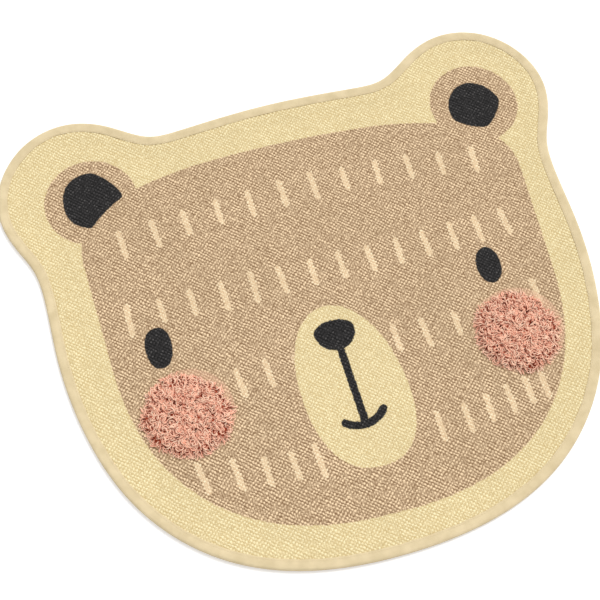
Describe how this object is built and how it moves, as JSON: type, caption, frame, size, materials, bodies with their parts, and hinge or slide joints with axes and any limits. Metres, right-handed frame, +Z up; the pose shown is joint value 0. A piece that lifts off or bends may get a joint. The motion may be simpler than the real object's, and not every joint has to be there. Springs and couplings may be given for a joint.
{
  "type": "bear shaped kids rug",
  "caption": "Flat woven floor rug for a child's room, cut as a bear's head with rounded ears, its edge bound in tape, with raised pile cheeks.",
  "frame": {"origin": "on the floor, under the middle of the rug's bounding box", "axes": "+X across the rug to the right seen from above with the ears away from the viewer, +Y from the chin to the ears, +Z up from the floor through the rug"},
  "size_m": [0.9, 0.8, 0.0191],
  "materials": {
    "panel": "thick plain-woven cotton, printed cream, tan and charcoal, matt",
    "binding": "smooth cream cotton tape, folded over the edge and stitched, matt",
    "pile": "curly dusty pink yarn pile, matt"
  },
  "bodies": {
    "root": {"woven_panel": "panel", "edge_binding": "binding", "cheek_pile_left": "pile", "cheek_pile_right": "pile"}
  },
  "joints": []
}
